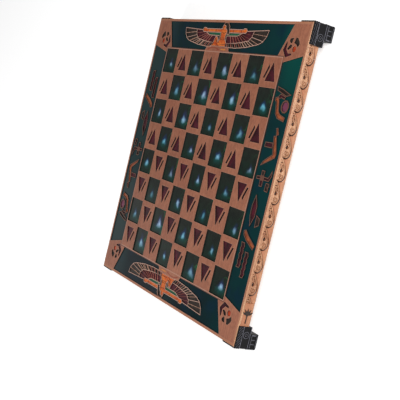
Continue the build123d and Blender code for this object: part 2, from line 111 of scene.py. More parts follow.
def colour(red, green, blue):
    """A colour given as it looks on a screen, from 0 to 255."""
    linear = [((v / 255 + 0.055) / 1.055) ** 2.4 if v > 10 else v / 3294.6 for v in (red, green, blue)]
    return (*linear, 1.0)


def bumped(tree, shader, height, depth):
    """Feeds the shader's normal with a height, in metres at full scale."""
    bump = tree.nodes.new("ShaderNodeBump")
    bump.inputs["Distance"].default_value = depth
    tree.links.new(height, bump.inputs["Height"])
    tree.links.new(bump.outputs[0], shader.inputs["Normal"])


def grain(tree, along):
    """Growth rings, fibres and pores of a board whose grain runs along one axis."""
    squeeze = [6.0, 6.0, 6.0]
    squeeze[along] = 1.0
    place = object_place(tree)
    stretched = put(tree, "Mapping", place, None, None, squeeze)
    drift = noise(tree, stretched, 9.0, 2.0)
    rings = ranged(tree, calc(tree, "SINE", times(tree, drift, 70.0)), -1.0, 1.0)
    fibres = noise(tree, stretched, 190.0, 3.0, 0.65)
    spots = put(tree, "TexVoronoi", stretched, None, 150.0)
    pores = ranged(tree, spots, 0.10, 0.26, 1.0, 0.0)
    patches = noise(tree, place, 14.0, 3.0, 0.55)
    return rings, fibres, pores, patches


def wood(name, dark, middle, light, along, roughness=0.42, coat=0.2):
    """Oiled wood. Gives the material, its tree, its shader and its colour socket."""
    made, tree, shader = finish(name, roughness, coat)
    rings, fibres, pores, patches = grain(tree, along)
    tone = mixed(tree, ranged(tree, patches, 0.3, 0.7), middle, light)
    tone = mixed(tree, rings, tone, dark, 0.3)
    tone = mixed(tree, ranged(tree, fibres, 0.35, 0.75, 0.0, 0.4), tone, dark)
    tone = mixed(tree, pores, tone, dark, 0.3)
    mottle = noise(tree, object_place(tree), 210.0, 4.0, 0.7)
    tone = mixed(tree, ranged(tree, mottle, 0.52, 0.72, 0.0, 0.4), tone, dark)
    tone = mixed(tree, ranged(tree, mottle, 0.26, 0.46, 0.4, 0.0), tone, light)
    bumped(tree, shader, calc(tree, "SUBTRACT", fibres, times(tree, pores, 0.4)), FINE_RELIEF)
    dulled = ranged(tree, fibres, 0.3, 0.7, roughness - 0.08, roughness + 0.1)
    tree.links.new(dulled, shader.inputs["Roughness"])
    tree.links.new(tone, shader.inputs["Base Color"])
    return made, tree, shader, tone


def dress(nodes, made):
    """Puts a material on CAD nodes whose shape stays."""
    for name in nodes:
        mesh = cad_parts[name].data
        mesh.materials.clear()
        mesh.materials.append(made)


base_wood = wood("base_wood", colour(120, 78, 50), colour(176, 124, 84), colour(196, 146, 104), 0)[0]
dress(["base_panel"], base_wood)


# Playing panel
# One panel of reddish wood, milled with a pocket for every inlay and thin rims between them.
# The pocket walls are nearly black, and the sharp rims carry a painted highlight, paler by the
# wings. A painted highlight line and a painted shadow line run round the field. An arch and a
# bar below each figure are laid flush and painted.

FACE = 0.042
POCKET_FLOOR = 0.0385
PANEL_INNER = 0.20125
SHARP_RIM = 0.0011

# Places by a figure are to the right of its middle and out from its panel's inner edge
WING_REACH = 0.145
WING_RISE = (0.0015, 0.046)
BODY_REACH = 0.062
BODY_FADE = 0.02
BODY_RISE = (0.0086, 0.0144)
ARCH_MIDDLE = -0.023
ARCH_HALF = 0.019
ARCH_HEIGHT = 0.0052

# The middle and half the width of what is painted there, and of the plinth
BAR_ACROSS = (0.011, 0.008)
BAR_ABOVE = (0.0026, 0.0009)
PLINTH = (-0.0095, 0.042)

# Out from the middle of the board: a painted highlight line and a painted shadow line round the playing
# field, and the wood round the side motifs
HIGHLIGHT_LINE = (0.1991, 0.0006)
SHADOW_LINE = (0.2007, 0.0006)
SIDE_BAND = (0.204, 0.2505)
SIDE_REACH = 0.17


def within(tree, value, middle, half, soft=0.0002):
    """1 where a value lies within half of the middle, with a soft edge."""
    off = calc(tree, "ABSOLUTE", calc(tree, "SUBTRACT", value, middle))
    return ranged(tree, off, half, half + soft, 1.0, 0.0)


def between(tree, value, low, high, soft=0.0002):
    return within(tree, value, (low + high) / 2, (high - low) / 2, soft)


def in_far_half(tree, across, upward, line):
    """How far to the right and beyond a line a place lies, with the near half turned onto the far one."""
    right = times(tree, across, calc(tree, "SIGN", upward))
    return right, calc(tree, "SUBTRACT", calc(tree, "ABSOLUTE", upward), line)


def distance(tree, across, upward):
    """How far a flat place lies from its zero."""
    place = put(tree, "CombineXYZ", across, upward)
    return put(tree, "VectorMath", place, operation="LENGTH", out=1)


def upright(tree):
    """How far a face looks up: 1 on top, 0 on a wall and -1 below."""
    return parts(tree, put(tree, "NewGeometry", out=3))[2]


face_wood, tree, shader, tone = wood(
    "face_wood", colour(108, 61, 43), colour(161, 97, 72), colour(181, 116, 87), 1
)
across, upward = parts(tree, object_place(tree))[:2]
right, above = in_far_half(tree, across, upward, PANEL_INNER)

edge_near = tree.nodes.new("ShaderNodeAmbientOcclusion")
edge_near.inside = True
edge_near.only_local = True
edge_near.samples = 6
edge_near.inputs["Distance"].default_value = SHARP_RIM
# Painted highlight on the sharp rims of wood, paler still by the wings
rims = ranged(tree, edge_near.outputs["AO"], 0.45, 0.95, 0.75, 0.0)
by_wings = times(tree, within(tree, right, 0.0, WING_REACH), between(tree, above, *WING_RISE))
tone = mixed(tree, rims, tone, mixed(tree, by_wings, colour(200, 150, 126), colour(232, 196, 178)))
by_body = times(tree, within(tree, right, 0.0, BODY_REACH, BODY_FADE), between(tree, above, *BODY_RISE))
tone = mixed(tree, by_body, tone, colour(84, 46, 38), 0.65)

field = calc(tree, "MAXIMUM", calc(tree, "ABSOLUTE", across), calc(tree, "ABSOLUTE", upward))
# A painted highlight along the edge of the squares, and a painted shadow beside the border panels, left off
# the plinths
tone = mixed(tree, within(tree, field, *HIGHLIGHT_LINE), tone, colour(216, 176, 156), 0.4)
on_plinth = times(tree, within(tree, right, *PLINTH), ranged(tree, above, -0.004, -0.003))
shadow_line = times(tree, within(tree, field, *SHADOW_LINE), calc(tree, "SUBTRACT", 1.0, on_plinth))
tone = mixed(tree, shadow_line, tone, colour(58, 32, 26), 0.75)

arch_across = calc(tree, "DIVIDE", calc(tree, "SUBTRACT", right, ARCH_MIDDLE), ARCH_HALF)
arch_share = distance(tree, arch_across, calc(tree, "DIVIDE", above, ARCH_HEIGHT))
arch = times(tree, within(tree, arch_share, 1.0, 0.12, 0.04), ranged(tree, above, 0.0006, 0.0009))
tone = mixed(tree, arch, tone, colour(138, 52, 26), 0.85)
bar = times(tree, within(tree, right, *BAR_ACROSS), within(tree, above, *BAR_ABOVE))
tone = mixed(tree, bar, tone, colour(214, 132, 46), 0.85)

by_side_motifs = times(tree, between(tree, calc(tree, "ABSOLUTE", across), *SIDE_BAND, 0.0005),
                       within(tree, upward, 0.0, SIDE_REACH, 0.002))
tone = mixed(tree, by_side_motifs, tone, colour(62, 36, 31), 0.68)
walls = ranged(tree, calc(tree, "ABSOLUTE", upright(tree)), 0.3, 0.6, 1.0, 0.0)
tone = mixed(tree, walls, tone, colour(28, 18, 15))
tree.links.new(tone, shader.inputs["Base Color"])
dress(["playing_panel"], face_wood)


# Dark tiles
# Cast resin in the 32 dark squares, nearly black green, with a pearly blue spot in each that is
# partly pearl pigment and partly a painted reflection of the lamp. They are poured into the
# pockets, where the resin clings to the walls and sinks in the middle.

SQUARE = 0.05
HALF_ROW = 4.0
HALF_FIELD = HALF_ROW * SQUARE
WELD = 0.000002
MEETS = 0.000001
DULL_RIM = 0.6

# An inset outline: the least that a sharp corner's shift is divided by, and the share that the
# inset may take of the room beside a corner
SHARPEST = 0.35
SHARE_OF_ROOM = 0.35

# Shares of a square: where the spot, partly a painted reflection of the lamp, lies at the left and the right
# side of the field, and its size
SPOT_LEFT = (0.5, 0.4)
SPOT_RIGHT = (0.58, 0.31)
SPOT_CORE = 0.17
SPOT_HALO = 0.36
SWIRL = 0.13
JITTER = 0.07


def outlines(name):
    """The outlines of a CAD casting's top face, each with the resin on its left, and the top's height."""
    work = bmesh.new()
    work.from_mesh(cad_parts[name].data)
    bmesh.ops.remove_doubles(work, verts=work.verts, dist=WELD)
    high = max(v.co.z for v in work.verts)
    top = {f for f in work.faces if f.normal.z > 0.9 and f.calc_center_median().z > high - 0.0001}
    after = {}
    for face in top:
        for corner in face.loops:
            if not set(corner.edge.link_faces) <= top:
                after[corner.vert.index] = corner.link_loop_next.vert.index
    work.verts.ensure_lookup_table()
    found = []
    while after:
        first, here = after.popitem()
        line = [first]
        while here != first:
            line.append(here)
            here = after.pop(here)
        found.append([work.verts[n].co.xy for n in line])
    work.free()
    return found, high


def loop_area(line):
    return sum(a.x * b.y - b.x * a.y for a, b in zip(line, line[1:] + line[:1])) / 2


def clearance(point, lines):
    """Distance from a corner to the nearest edge that doesn't meet it."""
    best = 1.0
    for line in lines:
        for a, b in zip(line, line[1:] + line[:1]):
            if (a - point).length > MEETS and (b - point).length > MEETS:
                share = max(0.0, min(1.0, (point - a).dot(b - a) / (b - a).length_squared))
                best = min(best, (point - a.lerp(b, share)).length)
    return best


def drawn_in(line, room, by):
    """An outline moved inwards, less where there is less room."""
    moved = []
    for before, here, after, most in zip(line[-1:] + line[:-1], line, line[1:] + line[:1], room):
        came, goes = (here - before).normalized(), (after - here).normalized()
        sides = Vector((-came.y - goes.y, came.x + goes.x))
        shift = sides / max(SHARPEST, 1 + came.dot(goes))
        moved.append(here + shift * min(by, SHARE_OF_ROOM * most))
    return moved


def filled(vertices, loops, facing):
    """Triangles between closed loops of vertex numbers, looking up where facing is 1, down where -1."""
    numbers = [n for loop in loops for n in loop]
    faces = []
    for corners in tessellate_polygon([[Vector(vertices[n]) for n in loop] for loop in loops]):
        a, b, c = (numbers[n] for n in corners)
        (ax, ay, _), (bx, by, _), (cx, cy, _) = vertices[a], vertices[b], vertices[c]
        turn = (bx - ax) * (cy - ay) - (by - ay) * (cx - ax)
        faces.append((a, b, c) if turn * facing > 0 else (a, c, b))
    return faces


def built(name, vertices, faces, **marks):
    """A mesh, with numbers on its vertices that its material reads."""
    made = bpy.data.meshes.new(name)
    made.from_pydata(vertices, [], faces)
    for label, values in marks.items():
        made.attributes.new(label, "FLOAT", "POINT").data.foreach_set("value", values)
    return made


def casting_mesh(name, width, sink):
    """A casting whose rim stands up where the resin meets the wood. Its rim is marked for the material."""
    lines, high = outlines(name)
    outer = [line for line in lines if loop_area(line) > 0]
    holes = [line for line in lines if loop_area(line) < 0]
    widest = max(outer, key=loop_area)
    # Each level's way in from the outline, its height and its mark
    levels = [
        (0.0, POCKET_FLOOR, 1.0), (0.0, high, 1.0),
        (0.4 * width, high - 0.7 * sink, 0.3), (width, high - sink, 0.0),
    ]
    vertices, faces, edge = [], [], []
    for line in outer:
        group = [line, *holes] if line is widest else [line]
        room = [[clearance(point, group) for point in loop] for loop in group]
        rings = []
        for by, z, mark in levels:
            ring = []
            for loop, most in zip(group, room):
                ring.append(range(len(vertices), len(vertices) + len(loop)))
                vertices += [(p.x, p.y, z) for p in drawn_in(loop, most, by)]
                edge += [mark] * len(loop)
            rings.append(ring)
        for lower, upper in zip(rings, rings[1:]):
            for low, up in zip(lower, upper):
                faces += [(low[n - 1], low[n], up[n], up[n - 1]) for n in range(len(low))]
        faces += filled(vertices, rings[0], -1) + filled(vertices, rings[-1], 1)
    return built("poured_" + name, vertices, faces, edge=edge)


def piece(name, mesh, slot, material, *nodes):
    """A finished piece that rides on the board and stands for its CAD nodes."""
    made = bpy.data.objects.new(name, mesh)
    bpy.context.scene.collection.objects.link(made)
    mesh.materials.clear()
    mesh.materials.append(material)
    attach(made, "root")
    if nodes:
        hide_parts(*nodes)


def nodes_of(*starts):
    """The CAD nodes whose names start so."""
    return [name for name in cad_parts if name.startswith(starts)]


def poured(nodes, slot, material, width=0.0012, sink=0.0005):
    for name in nodes:
        piece("poured_" + name, casting_mesh(name, width, sink), slot, material, name)


def edged(tree, shader, tone, dark, much=0.9):
    """Feeds a casting's shader a tone that is darker on its rim, where the resin is duller too: partly the
    dark wall under the thin resin and partly painted shade from the wall.
    """
    rim = put(tree, "Attribute", out=2, attribute_name="edge")
    tone = mixed(tree, ranged(tree, rim, 0.05, 0.55, 0.0, much), tone, dark)
    tree.links.new(tone, shader.inputs["Base Color"])
    polished = shader.inputs["Roughness"].default_value
    tree.links.new(ranged(tree, rim, 0.02, 0.25, polished, DULL_RIM), shader.inputs["Roughness"])


def vectors(tree, operation, first, second=None):
    return put(tree, "VectorMath", first, second, operation=operation)


def swung(tree, chances, by):
    """Numbers from 0 to 1 spread by as much to either side of 0."""
    return put(tree, "Mapping", chances, (-by, -by, -by), None, (2 * by, 2 * by, 2 * by))


dark_resin, tree, shader = finish("dark_resin", 0.16, 0.0, 0.2)
place = object_place(tree)
squares = put(tree, "Mapping", place, (HALF_ROW, HALF_ROW, 0.0), None, (1 / SQUARE, 1 / SQUARE, 0.0))
inside = vectors(tree, "FRACTION", squares)
chance = put(tree, "TexWhiteNoise", vectors(tree, "FLOOR", squares), out=1)
first_chance, second_chance, third_chance = parts(tree, chance)

across = parts(tree, place)[0]
# The spot's place shifts across the field as a painted reflection of the lamp would
spot = [ranged(tree, across, -HALF_FIELD, HALF_FIELD, *ends) for ends in zip(SPOT_LEFT, SPOT_RIGHT)]
stirred = vectors(tree, "ADD", inside, swung(tree, noise(tree, squares, 3.4, 2.0, out=1), SWIRL))
stirred = vectors(tree, "SUBTRACT", stirred, swung(tree, chance, JITTER))
aside, up = parts(tree, vectors(tree, "SUBTRACT", stirred, put(tree, "CombineXYZ", *spot)))[:2]
drop = distance(tree, times(tree, aside, ranged(tree, up, -0.1, 0.2, 0.85, 1.9)), up)
off = times(tree, drop, ranged(tree, third_chance, 0.0, 1.0, 1.45, 0.85))
strength = ranged(tree, second_chance, 0.0, 0.75, 0.3, 1.0)
core = times(tree, ranged(tree, off, 0.02, SPOT_CORE, 1.0, 0.0), strength)
halo = calc(tree, "POWER", ranged(tree, off, 0.06, SPOT_HALO, 1.0, 0.0), 1.6)
hue = calc(tree, "ADD", times(tree, up, 3.0), noise(tree, squares, 5.0, 2.0))
blue = mixed(tree, first_chance, colour(24, 64, 116), colour(54, 56, 112))
glow = mixed(tree, ranged(tree, hue, 0.2, 0.7), colour(14, 92, 90), blue)
pearl_and_glint = mixed(tree, first_chance, colour(112, 190, 214), colour(172, 204, 236))

inside_across, inside_up = parts(tree, inside)[:2]
tone = mixed(tree, ranged(tree, inside_up, 0.1, 0.9), colour(14, 39, 29), colour(33, 37, 32))
smoke = noise(tree, squares, 3.2, 4.0, 0.6)
tone = mixed(tree, ranged(tree, smoke, 0.45, 0.7, 0.0, 0.8), tone, colour(22, 24, 22))
tone = mixed(tree, ranged(tree, smoke, 0.28, 0.42, 0.6, 0.0), tone, colour(16, 48, 34))
ridge = calc(tree, "ABSOLUTE", calc(tree, "SUBTRACT", noise(tree, squares, 1.7, 2.0, 0.4), 0.5))
wisp = times(tree, ranged(tree, ridge, 0.0, 0.03, 1.0, 0.0), ranged(tree, inside_across, 0.6, 0.85))
tone = mixed(tree, times(tree, wisp, third_chance), tone, colour(40, 108, 62), 0.6)
tone = mixed(tree, times(tree, halo, strength), tone, glow)
tone = mixed(tree, core, tone, pearl_and_glint, 0.9)
edged(tree, shader, tone, colour(7, 7, 7))
poured(nodes_of("dark_tiles"), "dark_resin", dark_resin, 0.0016, 0.0007)


# Border panels
# Four castings of clear resin tinted teal, with a little cloud in the depth. They fill the
# trapezium pockets round all the motifs and are polished to a gloss.

# Between a figure's arms and wings: the middle of the strip, half its width and half its length
ARM_STRIP = 0.23175
ARM_STRIP_HALF = 0.003
ARM_STRIP_REACH = 0.062

teal_resin, tree, shader = finish("teal_resin", 0.14, 0.0, 0.12)
place = object_place(tree)
across, upward = parts(tree, place)[:2]
cloud = noise(tree, place, 13.0, 3.0)
# Painted light with the cloud: brighter towards the right and far side, a painted grey reflection on the left
# panel and a painted sheen high on the right one
lit = ranged(tree, across, 0.05, 0.25, 0.0, 0.62)
lit = calc(tree, "ADD", lit, ranged(tree, upward, -HALF_FIELD, HALF_FIELD, 0.0, 0.3))
lit = calc(tree, "ADD", lit, ranged(tree, cloud, 0.35, 0.65, -0.18, 0.18))
tone = mixed(tree, lit, colour(9, 24, 30), colour(0, 52, 53))
tone = mixed(tree, ranged(tree, noise(tree, place, 30.0, 2.0), 0.5, 0.7, 0.0, 0.5), tone, colour(4, 36, 56))
tone = mixed(tree, ranged(tree, across, -0.22, -0.16, 0.6, 0.0), tone, colour(46, 66, 65))
painted_sheen = times(tree, ranged(tree, upward, 0.09, 0.2), ranged(tree, across, 0.18, 0.22))
tone = mixed(tree, painted_sheen, tone, colour(0, 78, 68), 0.6)
by_arms = times(tree, within(tree, across, 0.0, ARM_STRIP_REACH, 0.006),
                within(tree, calc(tree, "ABSOLUTE", upward), ARM_STRIP, ARM_STRIP_HALF, 0.0006))
tone = mixed(tree, by_arms, tone, colour(44, 98, 72))
edged(tree, shader, tone, colour(5, 8, 10))
poured(nodes_of("border_panel"), "teal_resin", teal_resin, 0.0007, 0.0004)


# Burgundy castings
# Pyramids, wing coverts, medallion crescents and the small plum motifs, cast in an opaque
# burgundy resin that is darker at its rims, partly painted shade from the pocket walls. The small
# pyramids are painted darker all over, as shade.

SUN = (0.2366, 0.1233)
SUN_RADIUS = 0.0105


def plum(name, dark, light, sun=0.0):
    made, tree, shader = finish(name, 0.26, 0.0, 0.25)
    place = object_place(tree)
    specks = put(tree, "TexVoronoi", place, None, 900.0)
    tone = mixed(tree, ranged(tree, noise(tree, place, 55.0, 3.0, 0.55), 0.35, 0.65), dark, light)
    tone = mixed(tree, ranged(tree, specks, 0.05, 0.25, 0.2, 0.0), tone, colour(150, 80, 100))
    across, upward = parts(tree, place)[:2]
    right, above = in_far_half(tree, across, upward, SUN[1])
    off_sun = distance(tree, calc(tree, "SUBTRACT", right, SUN[0]), above)
    tone = mixed(tree, within(tree, off_sun, 0.0, SUN_RADIUS), tone, colour(128, 66, 92), sun)
    edged(tree, shader, tone, colour(22, 7, 10), 0.85)
    return made


plum_resin = plum("plum_resin", colour(42, 12, 19), colour(80, 21, 35))
motif_plum = plum("motif_plum", colour(42, 12, 19), colour(80, 21, 35), 0.75)
shaded_plum = plum("shaded_plum", colour(24, 9, 12), colour(46, 14, 20))
for start, mix in (
    ("large_pyramids", plum_resin), ("small_pyramids", shaded_plum), ("wing_coverts", plum_resin),
    ("plum_motifs", motif_plum), ("beetle_crescents", plum_resin),
):
    poured(nodes_of(start), "burgundy_resin", mix)


# Amber castings
# The kneeling figures, the arms, throwing sticks and clubs and the medallion discs, cast in
# orange resin with a pearl powder that settles in streaks.


def amber(name, start, dark, light):
    """Pours the castings whose names start so, in an amber of their own."""
    made, tree, shader = finish(name, 0.3, 0.0, 0.4)
    streaked = put(tree, "Mapping", object_place(tree), None, None, (1.0, 2.2, 1.0))
    tone = mixed(tree, ranged(tree, noise(tree, streaked, 90.0, 4.0, 0.6), 0.3, 0.7), dark, light)
    edged(tree, shader, tone, colour(96, 30, 12), 0.7)
    poured(nodes_of(start), "amber_resin", made, 0.0009, 0.0003)


amber("amber_resin", "winged_figure", colour(176, 60, 16), colour(230, 122, 46))
amber("brown_amber", "amber_motifs", colour(120, 56, 30), colour(180, 96, 54))
amber("red_amber", "beetle_discs", colour(130, 36, 16), colour(196, 74, 34))


# Black castings
# Flight feathers, headdresses, wing cases and the dark motifs, cast in a brown black resin.
# The blossoms let into the rails are cast in it too.

black_resin, tree, shader = finish("black_resin", 0.28, 0.0, 0.25)
smoke = noise(tree, object_place(tree), 60.0, 4.0, 0.55)
tone = mixed(tree, ranged(tree, smoke, 0.3, 0.75), colour(24, 19, 17), colour(62, 50, 42))
edged(tree, shader, tone, colour(9, 7, 7), 0.8)
poured(nodes_of("wing_feathers", "headdress", "dark_motifs", "beetle_wing_cases"),
       "black_resin", black_resin, 0.0009, 0.0004)
dress(["rail_blossoms"], black_resin)


# Ribs and lines of the winged figures
# The cutter leaves thin ribs of wood standing between the feathers. The figures' belts, limbs
# and wrist bands are scored into the amber and filled with black.

# Millimetres to the right of the far figure's middle and out from its panel's inner edge
WING_OUTLINE = [
    (12, 27.5), (48, 28.2), (72, 37), (143, 40), (141, 32), (134, 23.5), (120, 15), (98, 10.8), (60, 7.8),
    (12, 6.75),
]
COVERT_EDGE = [
    (98.5, 38), (96.5, 31), (91, 24.8), (84, 21), (75.5, 19.25), (56, 16.2), (30, 14.9), (0, 14.75),
]
BODY_SIDE = 14
LEFT_CLEAR = 37

# Ribs, counted in feathers and in coverts from the wing's tip, and the angle that they fan out over
FEATHERS = 9
OUTER_RIBS = [0.45, 1.55, 2.5, 3.55]
INNER_RIBS = [4.5, 5.5, 6.5, 7.5]
COVERTS = 11
COVERT_RIBS = [0.9 + n for n in range(8)]
SPREAD = 85.0
RIB_TOP = 0.0419
RIB_HEIGHT = 0.002
SCORED_LEVEL = 0.04135

SCORED = [
    [(-8, 21), (-3, 20), (3, 20), (8, 21)], [(-8, 23.2), (8, 23.2)], [(-7.6, 34), (0, 31.4), (7.6, 34)],
    [(-8, 14.5), (-17, 15.5), (-25, 22.5)], [(-12, 9.5), (-19, 13), (-22, 19)], [(-30.5, 10), (-27, 20)],
    [(-8, 12), (12, 12)], [(-57, 33.8), (-57, 38.2)], [(57, 33.8), (57, 38.2)], [(-30, 33.8), (-30, 38.2)],
    [(30, 33.8), (30, 38.2)], [(-4.6, 43.4), (-3, 43.7)],
]


def set_input(modifier, label, value):
    """Sets a Geometry Nodes input by its socket's identifier."""
    for item in modifier.node_group.interface.items_tree:
        if item.item_type == "SOCKET" and item.in_out == "INPUT" and item.name == label:
            modifier[item.identifier] = value


def grown_mesh(source, tree, **inputs):
    """The plain mesh that a Geometry Nodes tree makes of a source mesh."""
    carrier = bpy.data.objects.new("carrier", source)
    bpy.context.scene.collection.objects.link(carrier)
    modifier = carrier.modifiers.new("grown", "NODES")
    modifier.node_group = tree
    for label, value in inputs.items():
        set_input(modifier, label, value)
    shown = carrier.evaluated_get(bpy.context.evaluated_depsgraph_get())
    made = bpy.data.meshes.new_from_object(shown)
    carrier.modifiers.remove(modifier)
    bpy.data.objects.remove(carrier)
    return made


def new_tree(name, **inputs):
    """An empty Geometry Nodes tree with named inputs. Gives the tree and its two end nodes."""
    tree = bpy.data.node_groups.new(name, "GeometryNodeTree")
    tree.interface.new_socket("Geometry", in_out="INPUT", socket_type="NodeSocketGeometry")
    for label, kind in inputs.items():
        tree.interface.new_socket(label, in_out="INPUT", socket_type="NodeSocket" + kind)
    tree.interface.new_socket("Geometry", in_out="OUTPUT", socket_type="NodeSocketGeometry")
    return tree, tree.nodes.new("NodeGroupInput"), tree.nodes.new("NodeGroupOutput")


def chain(tree, start, *kinds):
    """New nodes in a row: a socket feeds the first, and each feeds the next."""
    made = []
    for kind in kinds:
        made.append(tree.nodes.new("GeometryNode" + kind))
        tree.links.new(start, made[-1].inputs[0])
        start = made[-1].outputs[0]
    return made


def strip_tree(name):
    """Square-edged strips that follow the lines of a mesh."""
    tree, given, result = new_tree(name, Width="Float", Height="Float", Material="Material")
    _, level, swept, _, paint = chain(
        tree, given.outputs["Geometry"],
        "MeshToCurve", "SetCurveNormal", "CurveToMesh", "RealizeInstances", "SetMaterial")
    level.mode = "Z_UP"
    section = tree.nodes.new("GeometryNodeCurvePrimitiveQuadrilateral")
    swept.inputs["Fill Caps"].default_value = True
    link = tree.links.new
    link(given.outputs["Width"], section.inputs["Width"])
    link(given.outputs["Height"], section.inputs["Height"])
    link(section.outputs[0], swept.inputs["Profile Curve"])
    link(given.outputs["Material"], paint.inputs["Material"])
    link(paint.outputs[0], result.inputs[0])
    return tree


def in_wing(point):
    """Whether a point lies inside the wing."""
    found = False
    for (ax, ay), (bx, by) in zip(WING_OUTLINE, [*WING_OUTLINE[1:], WING_OUTLINE[0]]):
        if (ay > point.y) != (by > point.y) and point.x < ax + (point.y - ay) * (bx - ax) / (by - ay):
            found = not found
    return found


def on_edge(share):
    """A point on the covert edge, with the share of its length from the tip to the body."""
    points = [Vector(p) for p in COVERT_EDGE]
    lengths = [(b - a).length for a, b in zip(points, points[1:])]
    left = share * sum(lengths)
    for a, b, length in zip(points, points[1:], lengths):
        if left <= length:
            return a.lerp(b, left / length)
        left -= length
    return points[-1]


def fan_line(share, inwards=False):
    """A line from the covert edge across the feathers or the inner band, to just short of the outline."""
    angle = math.radians(-SPREAD * share + (180 if inwards else 0))
    step = Vector((math.cos(angle), math.sin(angle)))
    start = on_edge(share)
    point = start + step
    while in_wing(point):
        point += step * 0.25
    return [start, point - step]


def both_figures(lines, level, wings=False):
    """Lines of the far figure as one mesh with the near figure's. Those of the wings are mirrored too."""
    if wings:
        lines = [line for line in lines if min(p[0] for p in line) > BODY_SIDE]
        lines = lines + [[(-x, y) for x, y in line] for line in lines if min(p[0] for p in line) > LEFT_CLEAR]
    vertices, edges = [], []
    for turn in (1, -1):
        for line in lines:
            edges += [(len(vertices) + n, len(vertices) + n + 1) for n in range(len(line) - 1)]
            vertices += [(turn * x / 1000, turn * (PANEL_INNER + y / 1000), level) for x, y in line]
    mesh = bpy.data.meshes.new("lines")
    mesh.from_pydata(vertices, edges, [])
    return mesh


def rib_wood(name, dark, light):
    made, tree, shader = finish(name, 0.45, 0.0, 0.3)
    fibres = noise(tree, object_place(tree), 260.0, 3.0, 0.6)
    tree.links.new(mixed(tree, ranged(tree, fibres, 0.3, 0.7), dark, light), shader.inputs["Base Color"])
    return made


strips = strip_tree("strips")


def strip_piece(name, lines, width, height, slot, material):
    """A piece of strips that lie along lines."""
    piece(name, grown_mesh(lines, strips, Width=width, Height=height, Material=material), slot, material)


# The outer ribs are painted far paler than the face wood, as a painted highlight; the inner ribs keep a dim
# wood tone
highlit_ribs = rib_wood("highlit_ribs", colour(176, 124, 100), colour(226, 184, 160))
dim_ribs = rib_wood("dim_ribs", colour(126, 66, 58), colour(166, 104, 90))
outer_lines = [fan_line(share / FEATHERS) for share in OUTER_RIBS]
inner_lines = [fan_line(share / FEATHERS) for share in INNER_RIBS]
inner_lines += [fan_line(share / COVERTS, True) for share in COVERT_RIBS]
rib_middle = RIB_TOP - RIB_HEIGHT / 2
outer_ribs = both_figures(outer_lines, rib_middle, True)
inner_ribs = both_figures(inner_lines, rib_middle, True)
strip_piece("outer_ribs", outer_ribs, 0.0005, RIB_HEIGHT, "face_wood", highlit_ribs)
strip_piece("inner_ribs", inner_ribs, 0.0004, RIB_HEIGHT, "face_wood", dim_ribs)
strip_piece("scored_lines", both_figures(SCORED, SCORED_LEVEL), 0.0007, 0.0003, "black_resin", black_resin)


# Edge rails
# Four lengths of wood, L-shaped in section, glued round both panels and mitred under the corner
# caps. Their tops are reddish like the face wood; their sides are a paler honey, partly the wood's
# tone and partly painted light. A row of running scrolls is carved into each outer face with gouges.

RAIL_OUTER = 0.257
UNDERSIDE = 0.0205
THICK = FACE - UNDERSIDE
SEAM = 0.030
LIP = 0.0035
LEDGE = 0.010
INNER = [
    (RAIL_OUTER - LEDGE, UNDERSIDE), (RAIL_OUTER - LEDGE, SEAM),
    (RAIL_OUTER - LIP, SEAM), (RAIL_OUTER - LIP, FACE),
]
STEP = 0.0005
SAME_POINT = 0.00002

# Where the carving stops under the last cap, and how far the plain ends are set back and softened
RAIL_END = 0.487
UNDER_CAP = 0.0001
SOFT_TOP = 0.0005

PITCH = 0.0365
SCROLLS = 11
FIRST_SCROLL = 0.027
CARVED_END = FIRST_SCROLL + SCROLLS * PITCH
TAIL_END = 0.0145

# One scroll in millimetres, along from its start and down from the face
CREST = [
    (0, 5.0), (5, 9), (11, 12.6), (16, 14.9), (22, 17), (28, 17.8), (33, 16.8), (36.8, 14.2), (38.4, 10.8),
    (37.6, 7.6),
]
CREST_RISING = 60
BAND = 3.6
EYE = (21.0, 8.6)
HOOK = [(18.2, 9.4), (19.4, 7.2), (21.8, 6.6), (23.4, 8.2), (22.4, 10.2), (20.6, 10.4)]
CURL = (30.0, 10.8)
CURL_RADIUS = 4.2
CURL_CLOSING = 0.38
CURL_START = 2.5
CURL_TURNS = 1.35
PITS = 150
PITS_BELOW_CREST = 3.6
PITS_OFF_EYE = 3.4

# Depths in millimetres, and how deep a groove is where its painted shade is darkest
CREST_DEPTH = 2.1
INNER_LINE_DEPTH = 1.1
CURL_DEPTH = 1.5
EYE_DEPTH = 2.4
PIT_DEPTH = 1.3
GROUND_DEPTH = 1.5
TAIL_DEPTH = 0.9
DEEPEST = 2.9
FULL_SHADE_DEPTH = 2.0

# Millimetres beyond anything carved
FAR_OFF = 99.0


def smooth_line(points, steps=8):
    """A line of short steps through the points, smoothed at each."""
    points = [Vector(p) for p in points]
    ends = [points[0] * 2 - points[1], *points, points[-1] * 2 - points[-2]]
    line = []
    for a, b, c, d in zip(ends, ends[1:], ends[2:], ends[3:]):
        bend, swing = 2 * a - 5 * b + 4 * c - d, 3 * b - a - 3 * c + d
        for number in range(steps):
            t = number / steps
            line.append(0.5 * (2 * b + (c - a) * t + bend * t**2 + swing * t**3))
    return np.array([*line, points[-1]])


def off_line(x, y, line):
    """Distance of each grid point from a line."""
    best = np.full(x.shape, 1e9)
    for (ax, ay), (bx, by) in zip(line, line[1:]):
        dx, dy = bx - ax, by - ay
        t = np.clip(((x - ax) * dx + (y - ay) * dy) / (dx * dx + dy * dy), 0, 1)
        best = np.minimum(best, np.hypot(x - ax - t * dx, y - ay - t * dy))
    return best


def in_outline(x, y, line):
    """Whether each grid point lies inside a closed line."""
    found = np.zeros(x.shape, bool)
    for (ax, ay), (bx, by) in zip(line, np.roll(line, -1, axis=0)):
        if ay != by:
            found ^= ((ay > y) != (by > y)) & (x < ax + (y - ay) * (bx - ax) / (by - ay))
    return found


def dip(distance, width):
    """A rounded groove's depth, from 1 in its middle to 0."""
    return np.exp(-((distance / width) ** 2))


